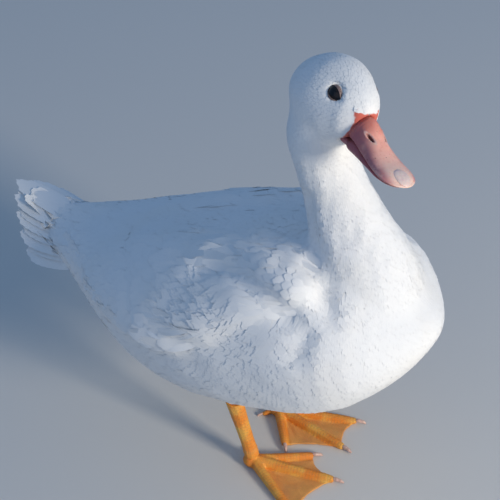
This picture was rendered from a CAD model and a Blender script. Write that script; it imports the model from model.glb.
"""A white farmyard duck, life-size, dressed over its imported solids.

One skin lies under the coat. Feathers are thin closed vanes laid over it along the lie of the plumage.
Sizes are in millimetres, in the body's own frame, unless a docstring says otherwise. Meshes are in metres.
"""

from __future__ import annotations

import logging
import math
from dataclasses import dataclass, field, replace
from enum import Enum
from functools import partial
from typing import Any, Callable, Sequence

import bmesh
import bpy
import numpy as np
from mathutils import Euler, Matrix, Vector, noise
from mathutils.bvhtree import BVHTree
from mathutils.kdtree import KDTree

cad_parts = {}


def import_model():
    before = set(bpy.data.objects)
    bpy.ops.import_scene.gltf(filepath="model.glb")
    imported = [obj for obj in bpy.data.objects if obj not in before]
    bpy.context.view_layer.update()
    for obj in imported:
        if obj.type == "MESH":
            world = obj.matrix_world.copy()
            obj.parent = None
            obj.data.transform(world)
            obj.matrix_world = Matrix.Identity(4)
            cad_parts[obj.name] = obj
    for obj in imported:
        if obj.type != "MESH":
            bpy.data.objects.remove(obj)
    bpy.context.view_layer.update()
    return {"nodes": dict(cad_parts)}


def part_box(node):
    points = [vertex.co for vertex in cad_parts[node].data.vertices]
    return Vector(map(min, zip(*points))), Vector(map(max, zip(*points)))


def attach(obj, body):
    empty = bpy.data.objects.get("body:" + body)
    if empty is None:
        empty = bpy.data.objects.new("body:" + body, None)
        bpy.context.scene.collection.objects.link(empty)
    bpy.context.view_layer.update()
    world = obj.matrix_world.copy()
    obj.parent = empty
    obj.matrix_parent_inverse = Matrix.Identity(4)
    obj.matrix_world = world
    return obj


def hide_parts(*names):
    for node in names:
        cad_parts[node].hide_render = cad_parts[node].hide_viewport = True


MM = 0.001
BODY = "root"
BAKE_MAP = "OFBake"
BARB_MAP = "Barbs"
IMAGE_SIDE = 500
PIECE_TRIANGLES = 185_000

WELD = 1e-6

Array = np.ndarray
BMesh = bmesh.types.BMesh
Material = bpy.types.Material
Mesh = bpy.types.Mesh
Piece = bpy.types.Object
Random = np.random.Generator
Colour = tuple[float, float, float, float]
Point = tuple[float, float, float]
Pair = tuple[float, float]
Rows = tuple[tuple[float, ...], ...]

log = logging.getLogger("duck")


class Slot(Enum):
    """The record's material slots."""

    PLUMAGE = "plumage"
    BILL = "bill"
    NAIL = "nail"
    EYE = "eye"
    LEG = "leg"
    CLAW = "claw"


class Side(Enum):
    """A side of the body, with the sign of its Y."""

    LEFT = 1
    RIGHT = -1

    @property
    def label(self) -> str:
        """The side's name as the nodes have it."""
        return self.name.lower()


# ---- Small helpers ------------------------------------------------------------------------------


def smoothstep(low: float, high: float, value: Array) -> Array:
    """A smooth rise from 0 at low to 1 at high.

    Args:
        low: the value where the rise starts.
        high: the value where it ends.
        value: the values to map.

    Returns:
        The share of the rise at each value.
    """
    share = np.clip((value - low) / (high - low), 0.0, 1.0)
    return share * share * (3.0 - 2.0 * share)


def unit(vectors: Array) -> Array:
    """The vectors at length one, along the last axis."""
    return vectors / np.maximum(np.linalg.norm(vectors, axis=-1, keepdims=True), 1e-12)


def spline(points: Sequence[Sequence[float]], shares: Sequence[float]) -> Array:
    """Points on a Catmull-Rom curve through a row of points.

    Args:
        points: the points or rows of sizes that the curve runs through.
        shares: where to read it, from 0 at the first point to 1 at the last.

    Returns:
        One row of values for each share.
    """
    knots = np.asarray(points, float)
    padded = np.vstack([2 * knots[0] - knots[1], knots, 2 * knots[-1] - knots[-2]])
    spot = np.clip(np.asarray(shares, float), 0, 1) * (len(knots) - 1)
    first = np.minimum(spot.astype(int), len(knots) - 2)
    t = (spot - first)[:, None]
    a, b, c, d = (padded[first + n] for n in range(4))
    return 0.5 * (
        2 * b + (c - a) * t + (2 * a - 5 * b + 4 * c - d) * t**2 + (3 * b - a - 3 * c + d) * t**3
    )


def tangent(ways: Array, normals: Array) -> Array:
    """Directions laid flat on the surface that has these normals, at length one."""
    return unit(ways - (ways * normals).sum(1, keepdims=True) * normals)


def mirrored(point: Sequence[float], side: Side) -> Array:
    """A point of the left side, on the given side."""
    return np.array(point, float) * [1, side.value, 1]


def line_distance(points: Array, line: Array) -> tuple[Array, Array]:
    """How far points are from a line of straight stretches.

    Args:
        points: the points, one a row.
        line: the line's corners, one a row.

    Returns:
        The distance of each point, and the share of the line's length where it is nearest.
    """
    spans = line[1:] - line[:-1]
    lengths = np.linalg.norm(spans, axis=1)
    before = np.concatenate([[0.0], np.cumsum(lengths)])
    offset = points[:, None, :] - line[None, :-1, :]
    along = np.clip((offset * spans).sum(-1) / lengths**2, 0.0, 1.0)
    gap = np.linalg.norm(offset - along[..., None] * spans, axis=-1)
    nearest = gap.argmin(1)
    row = np.arange(len(points))
    share = (before[nearest] + along[row, nearest] * lengths[nearest]) / before[-1]
    return gap[row, nearest], share


def linked(name: str, data: Any) -> Piece:
    """A new object in the scene for a mesh, a light or a camera.

    Args:
        name: the object's name.
        data: what it holds.

    Returns:
        The object, at the origin.
    """
    item = bpy.data.objects.new(name, data)
    bpy.context.scene.collection.objects.link(item)
    return item


def new_object(name: str, bm: BMesh) -> Piece:
    """A smooth-shaded object in the scene that holds a bmesh, which is freed.

    Args:
        name: the object's name.
        bm: the mesh's parts, in metres in the frame.

    Returns:
        The object, at the origin.
    """
    for face in bm.faces:
        face.smooth = True
    mesh = bpy.data.meshes.new(name)
    bm.to_mesh(mesh)
    bm.free()
    return linked(name, mesh)


def fused(
    name: str,
    nodes: Sequence[Piece],
    swell: float,
    voxel: float,
    rounds: int,
    extra: Callable[[BMesh], None] | None = None,
) -> Piece:
    """One smooth closed piece made of several nodes, swollen a little so that they join.

    Args:
        name: the piece's name.
        nodes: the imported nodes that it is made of.
        swell: how far their points are moved outwards, in millimetres.
        voxel: the size of its faces in millimetres.
        rounds: the rounds of smoothing.
        extra: adds more to the mesh before it is swollen.

    Returns:
        The piece.
    """
    bm = bmesh.new()
    for node in nodes:
        bm.from_mesh(node.data)
    bmesh.ops.remove_doubles(bm, verts=bm.verts, dist=WELD)
    if extra:
        extra(bm)
    bm.normal_update()
    for vertex in bm.verts:
        vertex.co = vertex.co + vertex.normal * (swell * MM)
    piece = new_object(name, bm)
    remesh = piece.modifiers.new("join", "REMESH")
    remesh.mode = "VOXEL"
    remesh.voxel_size = voxel * MM
    piece.modifiers.new("relax", "SMOOTH").iterations = rounds
    graph = bpy.context.evaluated_depsgraph_get()
    mesh = bpy.data.meshes.new_from_object(piece.evaluated_get(graph))
    piece.modifiers.clear()
    piece.data = mesh
    mesh.shade_smooth()
    return piece


def read(items: Any, key: str, width: int = 1, kind: type = np.float32) -> Array:
    """One value of every item of a mesh's collection.

    Args:
        items: the collection.
        key: the name of the value.
        width: how many numbers it has.
        kind: the type of number.

    Returns:
        The values, one item a row.
    """
    values = np.empty(len(items) * width, kind)
    items.foreach_get(key, values)
    return values.reshape(-1, width)


def vertices_of(mesh: Mesh) -> tuple[Array, Array]:
    """The places and normals of a mesh's vertices, one a row."""
    return read(mesh.vertices, "co", 3).astype(float), read(mesh.vertex_normals, "vector", 3).astype(float)


def between(ends: Pair, share: Any) -> Any:
    """Sizes from the first end at a share of 0 to the second at 1."""
    return np.interp(share, [0, 1], ends)


def set_vertices(mesh: Mesh, points: Array) -> None:
    """Moves a mesh's vertices to new places."""
    mesh.vertices.foreach_set("co", points.astype(np.float32).ravel())
    mesh.update()


def keep_values(mesh: Mesh, name: str, values: Sequence[float]) -> None:
    """Keeps a value at each of a mesh's points, for its finish to read."""
    layer = mesh.attributes.new(name, "FLOAT", "POINT")
    layer.data.foreach_set("value", np.asarray(values, np.float32))


def bumps(points: Array, scale: Sequence[float], seed: float) -> Array:
    """Smooth noise from about -1 to 1 at points in metres.

    Args:
        points: the points, one a row.
        scale: the size of a bump along X, Y and Z, in millimetres.
        seed: an offset that picks another part of the noise.

    Returns:
        The noise at each point.
    """
    spots = points / (np.asarray(scale) * MM) + seed
    return np.array([noise.noise(Vector(spot)) for spot in spots])


def relax(mesh: Mesh, points: Array, weights: Array, rounds: int) -> Array:
    """Evens out points of a mesh with their neighbours.

    Args:
        mesh: the mesh, for its edges.
        points: where its points are.
        weights: how much each point is moved, from 0 to 1.
        rounds: how often.

    Returns:
        The points' new places.
    """
    edges = read(mesh.edges, "vertices", 2, np.int32)
    near, far = np.concatenate([edges, edges[:, ::-1]]).T
    links = np.bincount(near, minlength=len(points))
    for _ in range(rounds):
        sums = [np.bincount(near, points[far, axis], minlength=len(points)) for axis in range(3)]
        even = np.stack(sums, 1) / links[:, None]
        points = points + (even - points) * (0.5 * weights)[:, None]
    return points


def dress(
    piece: Piece, material: Material, nodes: Sequence[str] = ()
) -> None:
    """Gives a finished piece its material, body, slot and the nodes it stands for, and reports it.

    Args:
        piece: the finished piece.
        material: its material.
        nodes: the names of the nodes that it replaces.
    """
    piece.data.materials.clear()
    piece.data.materials.append(material)
    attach(piece, BODY)
    if nodes:
        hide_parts(*nodes)
    log.info("%s: %d faces", piece.name, len(piece.data.polygons))


# ---- Frames -------------------------------------------------------------------------------------


@dataclass
class BodyFrame:
    """Where the body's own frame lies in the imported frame, found from the trunk's solid."""

    rear: float = -208.0
    clearance: float = 8.0
    origin: Array = field(init=False)

    def __post_init__(self) -> None:
        """Reads the trunk's box."""
        low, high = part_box("trunk")
        middle = (low.y + high.y) / 2
        self.origin = np.array([low.x - self.rear * MM, middle, self.clearance * MM])

    def at(self, points: Sequence[Any]) -> Array:
        """Points of the body's own frame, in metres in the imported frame."""
        return np.asarray(points, float) * MM + self.origin

    def local(self, points: Array) -> Array:
        """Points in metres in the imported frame, in the body's own millimetres."""
        return (points - self.origin) / MM


@dataclass
class HeadFrame:
    """The head's own frame: +X along the bill, +Z through the crown. Angles are in degrees."""

    body: BodyFrame
    place: Point = (64.0, 0.0, 362.0)
    turn: float = -28.0
    dip: float = 0.5
    tilt: float = -17.0
    matrix: Matrix = field(init=False)

    def __post_init__(self) -> None:
        """Works out the head's place and turn."""
        angles = [math.radians(angle) for angle in (self.tilt, self.dip, self.turn)]
        turned = Euler(angles, "XYZ").to_matrix().to_4x4()
        self.matrix = Matrix.Translation(self.body.at(self.place)) @ turned @ Matrix.Scale(MM, 4)

    def at(self, points: Sequence[Any]) -> Array:
        """Points of the head's frame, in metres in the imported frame."""
        matrix = np.array(self.matrix)
        return np.asarray(points, float) @ matrix[:3, :3].T + matrix[:3, 3]

    def local(self, points: Array) -> Array:
        """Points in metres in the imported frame, in the head's own millimetres."""
        matrix = np.array(self.matrix.inverted())
        return points @ matrix[:3, :3].T + matrix[:3, 3]


@dataclass(frozen=True)
class BareFace:
    """The bare skin round the bill, in the head's millimetres.

    Its half width is given at heights, its upper edge at distances across, and where the bill comes out
    of the feathers at heights.
    """

    widths: Rows = ((-22, -11.5, -4.9, 3.4, 8, 12.1), (10, 11, 9.9, 9.6, 10.4, 11.2))
    brow: Rows = ((0, 7.0, 8.8, 10.8, 12.5), (8.4, 8.4, 9.6, 12.8, 11.5))
    base: Rows = ((-16, -11.5, -5, 3, 8), (29.5, 29.5, 32.8, 34.0, 34.8))
    front: float = 26.0

    def inside(self, local: Array) -> Array:
        """How far points of the head lie inside the bare skin, negative where they are feathered.

        Args:
            local: the points, in the head's millimetres.

        Returns:
            The depth of each point in millimetres.
        """
        across = np.abs(local[:, 1])
        side = np.interp(local[:, 2], *self.widths) - across
        top = np.interp(across, *self.brow) - local[:, 2]
        face = np.minimum(np.minimum(side, top), local[:, 0] - self.front)
        return np.where((local[:, 2] > -40) & (local[:, 0] < 120), face, -9.0)

    def tuck(self, local: Array) -> Array:
        """How much of the bill's base is drawn in under the feathers, from 0 to 1."""
        return smoothstep(3.0, -2.5, local[:, 0] - np.interp(local[:, 2], *self.base))


@dataclass(frozen=True)
class Loft:
    """An oval body whose sizes run smoothly through its sections, with rounded ends.

    A section is its place (x, y, z), its half width, its reach above and below its spine and, where it
    has one, its lean in degrees.
    """

    sections: Rows
    ends: Pair

    def surface(self, along: Array, angle: Array, mirror: int = 1) -> Array:
        """Points of the surface.

        Args:
            along: shares of the spine's length.
            angle: angles in radians, from the left and up over the back.
            mirror: -1 for the mirrored body.

        Returns:
            The points, one a row.
        """
        rows = np.array([section + (0.0,) * (7 - len(section)) for section in self.sections])
        rows = rows * [1, mirror, 1, 1, 1, 1, mirror]
        along = np.asarray(along, float)
        here = spline(rows, along)
        ahead, behind = (spline(rows[:, :3], np.clip(along + step, 0, 1)) for step in (0.001, -0.001))
        forward = unit(ahead - behind)
        lean = np.radians(here[:, 6])
        left = np.stack([np.zeros_like(lean), np.cos(lean), np.sin(lean)], 1)
        left = unit(left - (left * forward).sum(1, keepdims=True) * forward)
        up = np.cross(forward, left)
        first, last = (np.clip(share / end, 0, 1) for share, end in zip((along, 1 - along), self.ends))
        dome = np.sqrt(1 - (1 - np.minimum(first, last)) ** 2)
        reach = np.where(np.sin(angle) > 0, here[:, 4], here[:, 5])
        across = (np.cos(angle) * here[:, 3] * dome)[:, None]
        return here[:, :3] + left * across + up * (np.sin(angle) * reach * dome)[:, None]

    def mesh(self, rings: int, sides: int) -> BMesh:
        """The closed body as a bmesh of bridged rings.

        Args:
            rings: the rings along it.
            sides: the sides of each ring.

        Returns:
            The bmesh, in the units of the sections.
        """
        bm = bmesh.new()
        angles = 2 * np.pi * np.arange(sides) / sides
        loops = []
        for share in 0.5 - 0.5 * np.cos(np.pi * np.arange(1, rings) / rings):
            circle = bmesh.ops.create_circle(bm, segments=sides, radius=1.0)["verts"]
            for vertex, spot in zip(circle, self.surface(np.full(sides, share), angles)):
                vertex.co = spot
            loops.append(list({edge for vertex in circle for edge in vertex.link_edges}))
        for near, far in zip(loops, loops[1:]):
            bmesh.ops.bridge_loops(bm, edges=near + far)
        for loop, share in ((loops[0], 0.0), (loops[-1], 1.0)):
            cap = bmesh.ops.edgeloop_fill(bm, edges=loop)["faces"]
            pole = bmesh.ops.poke(bm, faces=cap)["verts"][0]
            pole.co = self.surface(np.array([share]), np.array([0.0]))[0]
        bmesh.ops.recalc_face_normals(bm, faces=bm.faces)
        return bm


# ---- Finishes -----------------------------------------------------------------------------------


class Graph:
    """A material's node tree, built by short calls."""

    def __init__(self, name: str) -> None:
        """Starts a material with a bare Principled shader.

        Args:
            name: the material's name.
        """
        self.material = bpy.data.materials.new(name)
        self.material.use_nodes = True
        self.tree = self.material.node_tree
        self.shader = self.tree.nodes["Principled BSDF"]

    def add(self, kind: str, inputs: dict | None = None, out: int | str = 0, **settings: Any) -> Any:
        """Adds a node.

        Args:
            kind: the node's type, without its ShaderNode prefix.
            inputs: a socket or a value for each input, by name or number.
            out: the output to hand back.
            **settings: the node's own properties.

        Returns:
            The output socket.
        """
        node = self.tree.nodes.new("ShaderNode" + kind)
        for name, value in settings.items():
            setattr(node, name, value)
        for name, value in (inputs or {}).items():
            self.feed(node.inputs[name], value)
        return node.outputs[out]

    def feed(self, socket: Any, value: Any) -> None:
        """Links a socket to an output, or sets its value.

        Args:
            socket: the input.
            value: an output or a value.
        """
        if isinstance(value, bpy.types.NodeSocket):
            self.tree.links.new(value, socket)
        else:
            socket.default_value = value

    def set(self, **inputs: Any) -> None:
        """Feeds the shader's inputs, whose names are given with underscores."""
        for name, value in inputs.items():
            self.feed(self.shader.inputs[name.replace("_", " ")], value)

    def math(self, operation: str, *values: Any) -> Any:
        """A math node of the given values."""
        return self.add("Math", dict(enumerate(values)), operation=operation)

    def times(self, *values: Any) -> Any:
        """The product of two values."""
        return self.math("MULTIPLY", *values)

    def plus(self, *values: Any) -> Any:
        """The sum of two values."""
        return self.math("ADD", *values)

    def rest(self, value: Any) -> Any:
        """What a share leaves of one."""
        return self.math("SUBTRACT", 1.0, value)

    def attribute(self, name: str) -> Any:
        """A value that the mesh keeps at its points."""
        return self.add("Attribute", out="Fac", attribute_name=name)

    def mix(self, factor: Any, low: Any, high: Any) -> Any:
        """A colour between low and high."""
        return self.add("Mix", {0: factor, 6: low, 7: high}, out=2, data_type="RGBA")

    def stain(self, under: Any, over: Any, mask: Any, strength: float) -> Any:
        """A colour laid over another by a share of a mask."""
        return self.mix(self.times(mask, strength), under, over)

    def ramp(self, value: Any, low: float, high: float) -> Any:
        """A smooth rise from 0 to 1 as value goes from low to high."""
        inputs = {"Value": value, "From Min": low, "From Max": high}
        return self.add("MapRange", inputs, interpolation_type="SMOOTHSTEP")

    def place(self) -> Any:
        """The object's own coordinates, in metres."""
        return self.add("TexCoord", out="Object")

    def noise(self, vector: Any, scale: float, detail: float = 2.0, roughness: float = 0.5) -> Any:
        """Noise from 0 to 1 over a vector."""
        inputs = {"Vector": vector, "Scale": scale, "Detail": detail, "Roughness": roughness}
        return self.add("TexNoise", inputs)

    def bump(self, height: Any, distance: float, strength: float) -> Any:
        """A bumped normal, the height in shares of the distance in metres."""
        return self.add("Bump", {"Height": height, "Distance": distance, "Strength": strength})


@dataclass(frozen=True)
class PlumageFinish:
    """White feathers: soft and matt, warmer low on the body, with fine barbs. Sizes are in metres."""

    white: Colour = (0.83, 0.83, 0.82, 1.0)
    cream: Colour = (0.80, 0.76, 0.68, 1.0)
    grey: Colour = (0.70, 0.71, 0.73, 1.0)
    bare: Colour = (0.62, 0.14, 0.10, 1.0)
    warm_heights: Pair = (0.07, 0.17)
    patch_scale: float = 22.0
    shade_scale: float = 260.0
    barb_pitch: float = 0.0007
    barb_slant: float = -1.1
    barb_depth: float = 0.00008
    quill_edge: Pair = (0.00012, 0.0004)

    def material(self, name: str, barbs: bool) -> Material:
        """The finish of a coat piece, or of the skin under it.

        Args:
            name: the material's name.
            barbs: whether the piece has feathers, with their own barb map.

        Returns:
            The material.
        """
        g = Graph(name)
        place = g.place()
        height = g.add("SeparateXYZ", {0: place}, out="Z")
        low = g.rest(g.ramp(height, *self.warm_heights))
        patches = g.ramp(g.noise(place, self.patch_scale, 3.0), 0.40, 0.75)
        warm = g.times(g.math("MAXIMUM", low, 0.25), patches)
        colour = g.mix(warm, self.white, self.cream)
        colour = g.stain(colour, self.grey, g.ramp(g.noise(place, self.shade_scale), 0.5, 0.8), 0.16)
        g.set(Roughness=0.78, Specular_IOR_Level=0.2, Sheen_Weight=0.15, Sheen_Roughness=0.5)
        if not barbs:
            bare = g.attribute("bare")
            colour = g.mix(g.ramp(bare, 0.2, 0.8), colour, self.bare)
        if barbs:
            across, along = (
                g.add("SeparateXYZ", {0: g.add("UVMap", uv_map=BARB_MAP)}, out=axis) for axis in "XY"
            )
            slant = g.plus(along, g.times(g.math("ABSOLUTE", across), self.barb_slant))
            wave = g.math("SINE", g.times(slant, 2 * math.pi / self.barb_pitch))
            quill = g.rest(g.ramp(g.math("ABSOLUTE", across), *self.quill_edge))
            relief = g.plus(g.times(wave, 0.35), g.times(quill, 1.4))
            g.set(Normal=g.bump(relief, self.barb_depth, 0.35))
            colour = g.stain(colour, self.grey, g.ramp(wave, -0.2, -1.0), 0.08)
        g.set(Base_Color=colour)
        return g.material


@dataclass(frozen=True)
class BillFinish:
    """Soft bill skin: red where it meets the feathers, salmon over the top and purple by the rim.

    Its bands are in millimetres along the bill, and the reliefs' depth in metres.
    """

    red: Colour = (0.64, 0.15, 0.10, 1.0)
    salmon: Colour = (0.88, 0.42, 0.32, 1.0)
    pale: Colour = (0.87, 0.58, 0.47, 1.0)
    purple: Colour = (0.46, 0.13, 0.15, 1.0)
    speck: Colour = (0.20, 0.06, 0.05, 1.0)
    salmon_band: Pair = (34.0, 54.0)
    pale_band: Pair = (52.0, 84.0)
    wander: float = 14.0
    speck_scale: float = 190.0
    pore_scale: float = 1500.0
    wrinkle_scale: float = 260.0
    relief_depth: float = 0.0003

    def material(self, name: str) -> Material:
        """The finish, which reads how far along the bill and how near its rim a point is.

        Args:
            name: the material's name.

        Returns:
            The material.
        """
        g = Graph(name)
        place = g.place()
        reach = g.attribute("reach")
        rim = g.attribute("rim")
        cloud = g.noise(place, 90.0, 4.0)
        shifted = g.plus(reach, g.times(g.math("SUBTRACT", cloud, 0.5), self.wander))
        colour = g.mix(g.ramp(shifted, *self.salmon_band), self.red, self.salmon)
        colour = g.mix(g.ramp(shifted, *self.pale_band), colour, self.pale)
        edge = g.times(g.ramp(rim, 0.45, 0.95), g.ramp(cloud, 0.25, 0.55))
        colour = g.stain(colour, self.purple, edge, 0.85)
        mottle = g.ramp(g.noise(place, 420.0, 3.0), 0.52, 0.72)
        colour = g.stain(colour, self.red, mottle, 0.22)
        inputs = {"Vector": place, "Scale": self.speck_scale, "Randomness": 1.0}
        cells = g.add("TexVoronoi", inputs, out="Distance")
        dot = g.rest(g.ramp(cells, 0.05, 0.13))
        sparse = g.ramp(g.noise(place, 60.0, 0.0), 0.50, 0.62)
        colour = g.stain(colour, self.speck, g.times(dot, sparse), 0.6)
        hole = g.attribute("hole")
        off_rim = g.math("ABSOLUTE", g.math("SUBTRACT", hole, 1.35))
        rimmed = g.rest(g.ramp(off_rim, 0.1, 0.45))
        colour = g.stain(colour, self.pale, rimmed, 0.6)
        colour = g.mix(g.ramp(hole, 1.15, 0.8), colour, self.speck)
        pores = g.noise(place, self.pore_scale, 2.0)
        stretched = g.add("Mapping", {"Vector": place, "Scale": (1.0, 1.0, 2.4)})
        wrinkles = g.noise(stretched, self.wrinkle_scale, 3.0)
        relief = g.plus(g.times(pores, 0.35), wrinkles)
        g.set(Base_Color=colour, Roughness=0.42, Specular_IOR_Level=0.45)
        g.set(Subsurface_Weight=0.15, Subsurface_Scale=0.003)
        g.set(Normal=g.bump(relief, self.relief_depth, 0.55))
        return g.material


@dataclass(frozen=True)
class HornFinish:
    """Horn of the nail and claws, streaked along its growth."""

    light: Colour
    dark: Colour
    scale: float

    def material(self, name: str) -> Material:
        """The finish.

        Args:
            name: the material's name.

        Returns:
            The material.
        """
        g = Graph(name)
        place = g.place()
        streaks = g.noise(place, self.scale, 4.0, 0.6)
        colour = g.mix(g.ramp(streaks, 0.35, 0.7), self.light, self.dark)
        g.set(Base_Color=colour, Roughness=0.34, Specular_IOR_Level=0.5)
        g.set(Subsurface_Weight=0.10, Subsurface_Scale=0.002)
        g.set(Normal=g.bump(g.noise(place, self.scale * 3, 2.0), 0.00015, 0.5))
        return g.material


@dataclass(frozen=True)
class EyeFinish:
    """A wet dark eye: black pupil, dark brown iris and a black rim."""

    pupil: Colour = (0.002, 0.002, 0.003, 1.0)
    iris: Colour = (0.012, 0.006, 0.004, 1.0)

    def material(self, name: str) -> Material:
        """The finish, which reads the distance from the eye's own axis.

        Args:
            name: the material's name.

        Returns:
            The material.
        """
        g = Graph(name)
        off = g.attribute("off_axis")
        ring = g.times(g.ramp(off, 2.2, 2.7), g.rest(g.ramp(off, 4.0, 4.9)))
        fibres = g.noise(g.place(), 900.0, 3.0)
        ring = g.times(ring, g.ramp(fibres, 0.2, 0.7))
        g.set(Base_Color=g.mix(ring, self.pupil, self.iris), Roughness=0.12)
        g.set(Coat_Weight=0.25, Coat_Roughness=0.03, Specular_IOR_Level=0.25)
        return g.material


@dataclass(frozen=True)
class LidFinish:
    """The thin bare rim of the lids."""

    rim: Colour = (0.30, 0.20, 0.17, 1.0)
    dark: Colour = (0.14, 0.10, 0.09, 1.0)
    white: Colour = (0.80, 0.79, 0.77, 1.0)

    def material(self, name: str) -> Material:
        """The finish, which reads how far out on the lids a point is.

        Args:
            name: the material's name.

        Returns:
            The material.
        """
        g = Graph(name)
        outer = g.attribute("outer")
        grain = g.noise(g.place(), 1400.0, 3.0)
        colour = g.mix(g.ramp(grain, 0.35, 0.65), self.rim, self.dark)
        g.set(Base_Color=g.mix(g.ramp(outer, 0.30, 0.55), colour, self.white), Roughness=0.5)
        g.set(Normal=g.bump(grain, 0.0002, 0.6))
        return g.material


@dataclass(frozen=True)
class LegFinish:
    """Orange leg skin: scaled on shank and toes, finely netted on the webs. Its relief is in metres."""

    orange: Colour = (0.86, 0.27, 0.025, 1.0)
    yellow: Colour = (0.90, 0.47, 0.08, 1.0)
    web: Colour = (0.80, 0.36, 0.10, 1.0)
    dusk: Colour = (0.34, 0.15, 0.07, 1.0)
    cloud_scale: float = 70.0
    stain_scale: float = 38.0
    net_scale: float = 620.0
    net_shade: float = 0.22
    groove_shade: float = 0.50
    relief_depth: float = 0.00022

    def material(self, name: str) -> Material:
        """The finish, which reads the scale joints and how far a point is out on the web.

        Args:
            name: the material's name.

        Returns:
            The material.
        """
        g = Graph(name)
        place = g.place()
        groove = g.attribute("groove")
        webbed = g.attribute("web")
        cloud = g.noise(place, self.cloud_scale, 4.0)
        colour = g.mix(g.ramp(cloud, 0.38, 0.68), self.orange, self.yellow)
        colour = g.stain(colour, self.web, webbed, 0.8)
        stain = g.times(g.ramp(g.noise(place, self.stain_scale, 3.0), 0.48, 0.72), webbed)
        colour = g.stain(colour, self.dusk, stain, 0.45)
        inputs = {"Vector": place, "Scale": self.net_scale, "Randomness": 0.9}
        cells = g.add("TexVoronoi", inputs, out="Distance", feature="DISTANCE_TO_EDGE")
        joints = g.rest(g.ramp(cells, 0.0, 0.16))
        dark = g.math("MAXIMUM", g.times(joints, self.net_shade), g.times(groove, self.groove_shade))
        colour = g.mix(dark, colour, self.dusk)
        relief = g.math("SUBTRACT", g.times(g.noise(place, 900.0, 3.0), 0.4), joints)
        g.set(Base_Color=colour, Roughness=0.46, Specular_IOR_Level=0.42)
        g.set(Subsurface_Weight=0.08, Subsurface_Scale=0.002)
        g.set(Normal=g.bump(relief, self.relief_depth, 0.8))
        return g.material


# ---- Skin ---------------------------------------------------------------------------------------


@dataclass(frozen=True)
class Fold:
    """A crease in the flesh under the coat, drawn on the right side and mirrored for the left."""

    points: tuple[Point, ...]
    depth: float
    width: float
    lip: float = 0.0

    def shift(self, local: Array, side: Side) -> Array:
        """How far the crease moves each point along its normal.

        Args:
            local: the points, in the body's own millimetres.
            side: the side that the crease is on.

        Returns:
            The move of each point in millimetres, negative inwards.
        """
        line = np.array(self.points, float) * [1, -side.value, 1]
        away, share = line_distance(local, line)
        heights = np.interp(share, np.linspace(0, 1, len(line)), line[:, 2])
        fade = smoothstep(0.0, 0.15, share) * smoothstep(0.0, 0.15, 1 - share)
        groove = -self.depth * np.exp(-((away / self.width) ** 2))
        crown = self.lip * np.exp(-(((away - 2.2 * self.width) / (1.3 * self.width)) ** 2))
        return fade * (groove + np.where(local[:, 2] > heights, crown, 0.0))


WRIST_LINE = (
    *((-34, -66, 214), (-14, -61, 225), (0, -58, 230), (25, -68, 230)),
    *((46, -74, 227), (67, -72, 219), (82, -69, 216)),
)
SHOULDER_LINE = ((-15, -31, 232), (9, -34, 240), (33, -37, 246), (60, -44, 247), (78, -49, 240))
NECK_LINE = (
    *((47, -24, 300), (51, -27, 276), (58, -33, 259), (68, -39, 247)),
    *((81, -49, 237), (92, -58, 224), (98, -66, 210)),
)
WING_FOLDS = (
    Fold(WRIST_LINE, depth=5.5, width=9.0, lip=3.5),
    Fold(SHOULDER_LINE, depth=2.6, width=8.0),
    Fold(NECK_LINE, depth=5.0, width=8.0),
    Fold(((83, -68, 217), (81, -79, 202), (77, -87, 181)), depth=3.0, width=9.0),
    Fold(((-50, -93, 178), (-26, -97, 176), (-4, -98, 172)), depth=2.5, width=4.0),
)


@dataclass(frozen=True)
class Fan:
    """The tail's curved fan, in the body's millimetres. Angles are in degrees."""

    root: Point = (-150.0, 0.0, 157.0)
    spread: float = 32.0
    length: float = 110.0
    side: float = 0.66
    lift: float = 7.0
    sag: float = 1.6
    roof: float = 45.0
    offset: Pair = (-18.0, -14.0)
    bolster: Pair = (16.0, 4.2)
    flare: float = 0.35

    def places(self, share: float, away: Array, height: Array) -> tuple[Array, Array]:
        """Points on the fan.

        Args:
            share: the place across the fan, from -1 to 1.
            away: distances from the root.
            height: heights over the fan.

        Returns:
            The points in the body's frame and the fan's normal there.
        """
        lift = self.lift * (1 - self.sag * share**2)
        angles = [math.radians(angle) for angle in (self.roof * share, lift, self.spread / 2 * share)]
        turned = np.array(Euler(angles, "XYZ").to_matrix())
        curved = height + 5.0 * (away / self.length) ** 2
        spots = np.stack([-away, np.zeros_like(away), curved], 1) @ turned.T
        spots += np.array(self.root) + [0, self.offset[0] * share, self.offset[1] * share**2]
        return spots, turned @ [0.0, 0.0, 1.0]

    def reach(self, share: float) -> float:
        """The fan's length at a place across it."""
        return self.length * (1 - (1 - self.side) * abs(share))

    def add_bolster(self, bm: BMesh, body: BodyFrame) -> None:
        """Adds the flesh that carries the fan, as a wedge under it.

        Args:
            bm: the mesh that it joins.
            body: the body's frame.
        """
        grid = bmesh.ops.create_grid(bm, x_segments=18, y_segments=22, size=1.0)["verts"]
        faces = list({face for vertex in grid for face in vertex.link_faces})
        made = bmesh.ops.extrude_face_region(bm, geom=faces, use_keep_orig=True)["geom"]
        under = [item for item in made if isinstance(item, bmesh.types.BMVert)]
        for group, lower in ((grid, 0.0), (under, 1.0)):
            for vertex in group:
                along = (vertex.co.y + 1) / 2
                share = vertex.co.x * (1 + self.flare * (1 - along) ** 1.5)
                away = -30 + along * (30 + 0.78 * self.reach(min(1.0, abs(share))))
                thick = self.bolster[0] + (self.bolster[1] - self.bolster[0]) * along
                spots, _ = self.places(share, np.array([away]), np.array([0.3 - lower * thick]))
                vertex.co = body.at(spots)[0]
        bmesh.ops.recalc_face_normals(bm, faces=bm.faces)


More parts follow.
